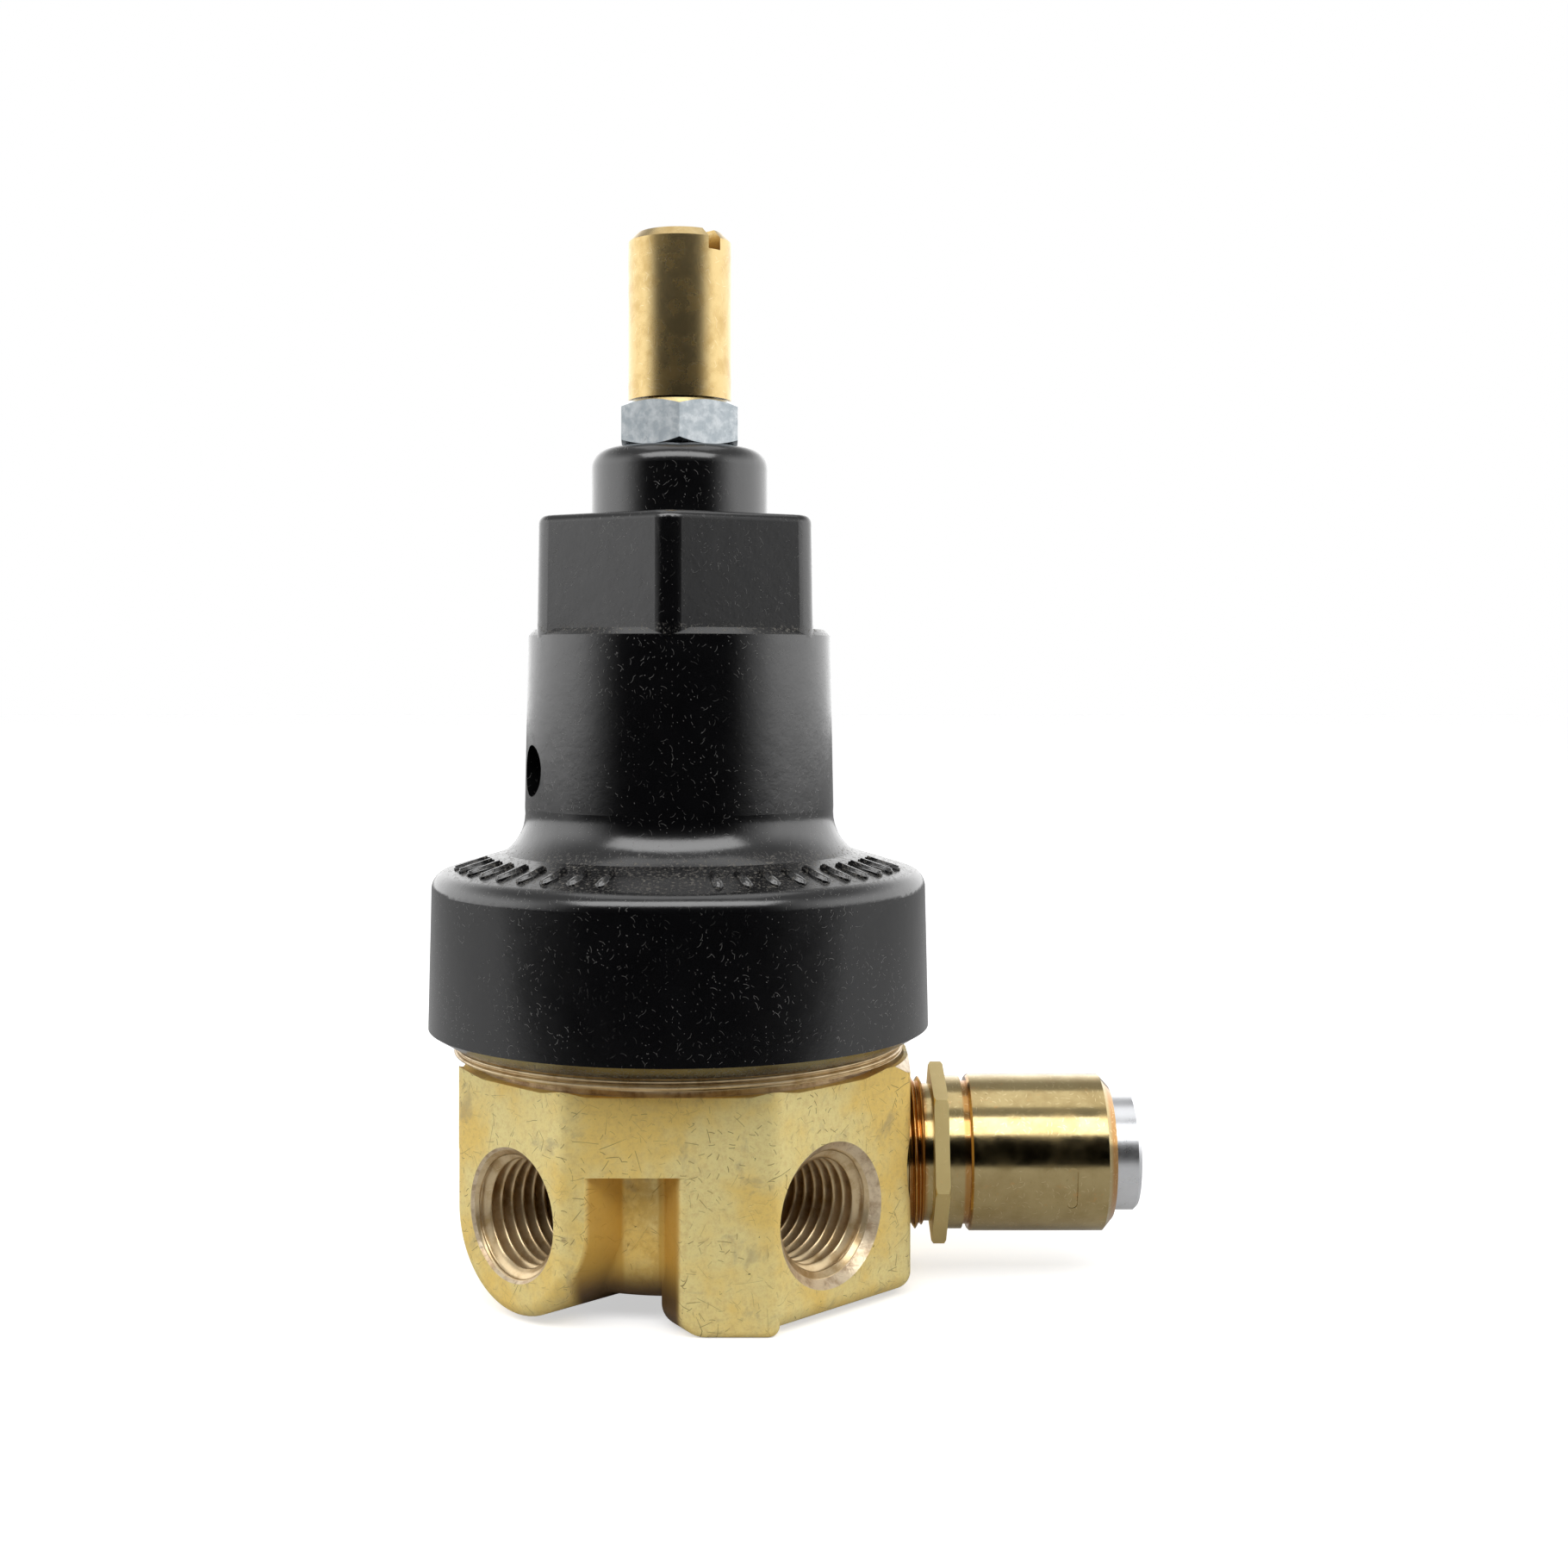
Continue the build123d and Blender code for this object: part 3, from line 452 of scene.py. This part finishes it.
def rubber(name="rubber"):
    s = Shader(name, roughness=0.7)
    s.bump(s.noise(4.0, 4.0), 0.02, 0.5)
    return s.done(s.mix(s.noise(0.6, 4.0), (0.012, 0.012, 0.012), (0.03, 0.03, 0.03)))


def fibre():
    s = Shader("fibre", roughness=0.8)
    strands = s.noise(2.0, 5.0, 0.7)
    s.bump(strands, 0.03, 0.6)
    return s.done(s.mix(strands, (0.42, 0.29, 0.17), (0.60, 0.46, 0.30)))


def sintered():
    """Sintered bronze: packed grains, with painted shade between them."""
    s = Shader("sintered_bronze", metallic=1.0)
    grains = s.cells(4.0)
    s.bump(grains, -0.1, 0.9)
    # Painted shade: each grain darkens towards its edge and into the gaps between grains
    colour = s.mix(s.band(grains, 0.1, 0.5), (0.55, 0.40, 0.22), (0.14, 0.09, 0.05))
    return s.done(colour, s.blend(grains, 0.4, 0.7))


def floor_white():
    """A pale floor that the camera sees as plain white, and whose front is dark in reflections."""
    s = Shader("floor_white", roughness=0.9)
    s.bsdf.inputs["Specular IOR Level"].default_value = 0.0
    s.bsdf.inputs["Emission Color"].default_value = (1, 1, 1, 1)
    seen = s.node("ShaderNodeLightPath").outputs["Is Camera Ray"]
    s.link(s.maths("MULTIPLY", seen, 0.55), s.bsdf.inputs["Emission Strength"])
    x, y, z = s.axes()
    lit = s.mix(s.band(y, *FLOOR_DARK), FLOOR_GREY, FLOOR_BLACK)
    return s.done(s.mix(seen, lit, (0.8, 0.8, 0.8)))


FORGED = forged_brass()
TURNED = machined_brass("turned_brass", (0.74, 0.58, 0.35), (0.50, 0.34, 0.16), 0.30, 0.75)
SCREW_BRASS = machined_brass("screw_brass", (0.60, 0.45, 0.21), (0.50, 0.35, 0.14), 0.25)
RELIEF_BRASS = relief_brass()
ZINC = zinc_plate()
WIRE = spring_wire()
ALUMINIUM = turned_aluminium()
PLASTIC = bonnet_plastic()
RUBBER = rubber()
FIBRE = fibre()
SINTERED = sintered()

NODE_MATERIALS = {
    "regulator_body": FORGED,
    "bonnet": PLASTIC,
    "adjusting_screw": SCREW_BRASS,
    "lock_nut": ZINC,
    "relief_base": RELIEF_BRASS,
    "relief_barrel": RELIEF_BRASS,
    "relief_plug": ALUMINIUM,
    "bonnet_insert": TURNED,
    "valve_seat": TURNED,
    "poppet": TURNED,
    "bottom_plug": TURNED,
    "diaphragm_bolt": TURNED,
    "relief_poppet": TURNED,
    "poppet_seal": RUBBER,
    "bottom_plug_o_ring": RUBBER,
    "diaphragm": RUBBER,
    "relief_poppet_seal": RUBBER,
    "slip_ring": FIBRE,
    "inlet_filter": SINTERED,
    "diaphragm_washer": ZINC,
    "diaphragm_plate": ZINC,
    "diaphragm_nut": ZINC,
    "spring_button": ZINC,
    "range_spring": WIRE,
    "poppet_spring": WIRE,
    "relief_spring": WIRE,
}

# ---- Pieces --------------------------------------------------------------------------------

# Each spring's moving body, the axis it lies along (0 for X, 2 for Z), and which corner of its
# box stays put (0 for the low one)
SPRINGS = {
    "range_spring": ("spring_carrier", 2, 0),
    "poppet_spring": ("poppet", 2, 0),
    "relief_spring": ("relief_poppet", 0, 1),
}


def new_piece(name, mesh, material, body):
    """Puts a finished mesh, in millimetres, on a CAD body."""
    mesh.transform(Matrix.Scale(MM, 4))
    piece = bpy.data.objects.new(name, mesh)
    bpy.context.scene.collection.objects.link(piece)
    piece.data.materials.append(material)
    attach(piece, body)
    return piece


def axis_frame(angle=None, height=0.0):
    """Local Z runs out along +Z, or level at an angle from +X at a height."""
    if angle is None:
        return Matrix.Identity(4)
    level = Matrix.Rotation(math.radians(angle), 4, "Z") @ Matrix.Rotation(math.radians(90), 4, "Y")
    return Matrix.Translation((0, 0, height)) @ level


def v_thread(turns, root, crest, flat=0.12):
    """A thread's radius, a fraction of a turn along the pitch: a V with small flats."""
    share = turns % 1.0
    ramp = abs(share * 2 - 1)
    return root + (crest - root) * min(1.0, max(0.0, (ramp - flat) / (1 - 2 * flat)))


def sleeve(name, low, high, back_radius, radius_at, step, segments=128):
    """A closed sleeve round local Z. radius_at(angle in turns, height) gives its shaped side."""
    rows = max(2, round((high - low) / step))
    bm = bmesh.new()
    rings = []
    for row in range(rows + 1):
        height = low + (high - low) * row / rows
        ring = []
        for k in range(segments):
            angle = 2 * math.pi * k / segments
            r = radius_at(k / segments, height)
            ring.append(bm.verts.new((r * math.cos(angle), r * math.sin(angle), height)))
        rings.append(ring)
    for height in (high, low):
        ring = []
        for k in range(segments):
            angle = 2 * math.pi * k / segments
            ring.append(bm.verts.new((back_radius * math.cos(angle), back_radius * math.sin(angle), height)))
        rings.append(ring)
    for one, two in zip(rings, rings[1:] + rings[:1]):
        for k in range(segments):
            n = (k + 1) % segments
            bm.faces.new((one[k], one[n], two[n], two[k]))
    bmesh.ops.recalc_face_normals(bm, faces=bm.faces)
    mesh = bpy.data.meshes.new(name)
    bm.to_mesh(mesh)
    bm.free()
    mesh.shade_smooth()
    return mesh


def port_thread(side):
    """The 1/4-18 NPT thread in a port: a right-hand helix that tapers inwards and meets the countersink."""
    angle, sink = PORTS[side]
    mouth = PORT_FACE - (sink - PORT_ROOT_R)

    def radius(turn, height):
        taper = (PORT_FACE - height) / 32
        root = PORT_ROOT_R - 0.03 - taper
        thread = v_thread(height / PORT_PITCH - turn, root, root - PORT_THREAD_DEPTH)
        return min(PORT_ROOT_R, max(thread, sink - (PORT_FACE - height)))

    mesh = sleeve(f"{side}_port_thread", PORT_FACE - PORT_DEPTH, mouth, PORT_ROOT_R + 0.02, radius, 0.1)
    mesh.transform(axis_frame(angle, PORT_Z))
    return new_piece(f"{side}_port_thread", mesh, TURNED, "body")


def beads(turns, root, crest):
    """A worn thread's radius, a fraction of a turn along the pitch: round crests and sharp roots."""
    return root + (crest - root) * abs(math.sin(math.pi * turns)) ** 0.6


def outside_thread(name, span, radii, pitch, body, material, frame_at, profile=v_thread, run_in=0.0):
    """A right-hand outside thread standing on a plain root."""
    low, high = span
    root, crest = radii

    def radius(turn, height):
        fade = min(1.0, min(height - low, high - height) / run_in) if run_in else 1.0
        return root + 0.004 + (profile(height / pitch - turn, root, crest) - root) * fade

    mesh = sleeve(name, low, high, root - 0.05, radius, pitch / 12, 160)
    mesh.transform(frame_at)
    return new_piece(name, mesh, material, body)


def ring_of_ribs():
    """Two groups of short raised ribs on the bonnet's sloping shoulder."""
    bm = bmesh.new()
    slope = math.atan2(CONE_TOP[1] - CONE_LOW[1], CONE_LOW[0] - CONE_TOP[0])
    for first, last, count in RIB_GROUPS:
        for k in range(count):
            angle = math.radians(first + (last - first) * k / (count - 1) - 90)
            height = CONE_LOW[1] + (CONE_LOW[0] - RIB_R) * math.tan(slope)
            place = Matrix.Rotation(angle, 4, "Z") @ Matrix.Translation((RIB_R, 0, height))
            place = place @ Matrix.Rotation(slope, 4, "Y")
            made = bmesh.ops.create_cube(bm, size=1.0)["verts"]
            bmesh.ops.transform(bm, matrix=place @ Matrix.Diagonal((*RIB_SIZE, 1)), verts=made)
    bmesh.ops.bevel(bm, geom=bm.edges[:], offset=RIB_ROUND, segments=3, affect="EDGES")
    mesh = bpy.data.meshes.new("shoulder_ribs")
    bm.to_mesh(mesh)
    bm.free()
    mesh.shade_smooth()
    return new_piece("shoulder_ribs", mesh, PLASTIC, "body")


def live_spring(node, axis, fixed_corner):
    """A copy of a CAD spring in the CAD one's place, which is hidden. Its two ends along the axis are worked
    out but not used.
    """
    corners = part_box(node)
    piece = bpy.data.objects.new(f"{node}_wire", NODES[node].data.copy())
    bpy.context.scene.collection.objects.link(piece)
    start, end = Vector(corners[0]), Vector(corners[0])
    start[axis] = corners[fixed_corner][axis]
    end[axis] = corners[1 - fixed_corner][axis]
    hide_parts(node)
    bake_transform(piece)
    return piece


def dress_cad():
    """Gives every carried CAD node its material."""
    for name, material in NODE_MATERIALS.items():
        data = NODES[name].data
        data.materials.clear()
        data.materials.append(material)


# ---- Stage ---------------------------------------------------------------------------------

# How the surroundings brighten from straight in front of the object round to its sides, and how
# they dim overhead: two parts of the direction, then the two strengths
FRONT_SHADE = (-0.78, -0.10, 0.0, 1.05)
TOP_SHADE = (0.25, 0.75, 1.7, 0.40)
FLOOR_HALF = 3000.0
# The floor as reflections see it, and where along Y it falls to nearly black in front
FLOOR_GREY = (0.50, 0.50, 0.50)
FLOOR_BLACK = (0.004, 0.004, 0.004)
FLOOR_DARK = (-60.0, -130.0)
# Each light's place, what it points at, its size and its power in watts
LIGHTS = {
    "key": ((0, -400, 500), (0, 0, 0), (1000, 300), 3.4),
    "top_softbox": ((0, 60, 520), (0, 0, 60), (420, 300), 0.35),
}
CAMERA_PLACE = (11.84, -230.0, 68.3)
CAMERA_LENS = 46.48
CAMERA_SHIFT = -0.0714


def area_light(name, place, aim, size, power):
    """A white rectangular soft light at a place, in millimetres, turned towards a point."""
    data = bpy.data.lights.new(name, "AREA")
    data.shape = "RECTANGLE"
    data.size, data.size_y = size[0] * MM, size[1] * MM
    data.energy = power
    lamp = bpy.data.objects.new(name, data)
    lamp.location = Vector(place) * MM
    lamp.rotation_euler = (Vector(aim) - Vector(place)).to_track_quat("-Z", "Y").to_euler()
    bpy.context.scene.collection.objects.link(lamp)


def world():
    """White surroundings, darker towards the front, and plain white to the camera."""
    made = bpy.data.worlds.new("studio")
    made.use_nodes = True
    tree = made.node_tree
    nodes, links = tree.nodes, tree.links
    place = nodes.new("ShaderNodeTexCoord").outputs["Generated"]
    parts = nodes.new("ShaderNodeSeparateXYZ")
    links.new(place, parts.inputs["Vector"])
    shades = []
    for part, limits in (("Y", FRONT_SHADE), ("Z", TOP_SHADE)):
        shade = nodes.new("ShaderNodeMapRange")
        shade.interpolation_type = "SMOOTHSTEP"
        links.new(parts.outputs[part], shade.inputs["Value"])
        for socket, number in zip(("From Min", "From Max", "To Min", "To Max"), limits):
            shade.inputs[socket].default_value = number
        shades.append(shade.outputs["Result"])
    strength = nodes.new("ShaderNodeMath")
    strength.operation = "MULTIPLY"
    links.new(shades[0], strength.inputs[0])
    links.new(shades[1], strength.inputs[1])
    seen = nodes.new("ShaderNodeLightPath")
    mix = nodes.new("ShaderNodeMix")
    mix.data_type = "FLOAT"
    links.new(seen.outputs["Is Camera Ray"], mix.inputs[0])
    links.new(strength.outputs["Value"], mix.inputs[2])
    mix.inputs[3].default_value = 1.0
    links.new(mix.outputs[0], nodes["Background"].inputs["Strength"])
    nodes["Background"].inputs["Color"].default_value = (1, 1, 1, 1)
    bpy.context.scene.world = made


def floor():
    """A plain pale floor on the base plane."""
    mesh = bpy.data.meshes.new("floor")
    corners = [(x * FLOOR_HALF * MM, y * FLOOR_HALF * MM, 0) for x, y in ((-1, -1), (1, -1), (1, 1), (-1, 1))]
    mesh.from_pydata(corners, [], [(0, 1, 2, 3)])
    mesh.materials.append(floor_white())
    made = bpy.data.objects.new("floor", mesh)
    bpy.context.scene.collection.objects.link(made)


def camera():
    """A camera level with the middle of the bonnet, a little right of the spring axis."""
    data = bpy.data.cameras.new("camera")
    data.sensor_width = 36.0
    data.lens = CAMERA_LENS
    data.shift_y = CAMERA_SHIFT
    data.clip_start = 0.01
    made = bpy.data.objects.new("camera", data)
    made.location = Vector(CAMERA_PLACE) * MM
    made.rotation_euler = (math.radians(90), 0, 0)
    bpy.context.scene.collection.objects.link(made)
    bpy.context.scene.camera = made


# ---- Making --------------------------------------------------------------------------------

camera()
world()
floor()
for name, settings in LIGHTS.items():
    area_light(name, *settings)
bpy.context.scene.view_settings.view_transform = "Standard"

dress_cad()
for node, (mover, axis, fixed_corner) in SPRINGS.items():
    live_spring(node, axis, fixed_corner)
for side in PORTS:
    port_thread(side)
outside_thread(
    "neck_thread", NECK_THREAD, (NECK_ROOT_R, NECK_CREST_R), NECK_PITCH,
    "body", TURNED, axis_frame(), beads, 0.1,
)
outside_thread(
    "adjusting_screw_thread", SCREW_THREAD, (SCREW_ROOT_R, SCREW_CREST_R), SCREW_PITCH,
    "adjuster", SCREW_BRASS, axis_frame(),
)
outside_thread(
    "relief_thread", RELIEF_THREAD, (RELIEF_ROOT_R, RELIEF_CREST_R), RELIEF_PITCH,
    "body", RELIEF_BRASS, axis_frame(0, RELIEF_Z), run_in=0.2,
)
ring_of_ribs()
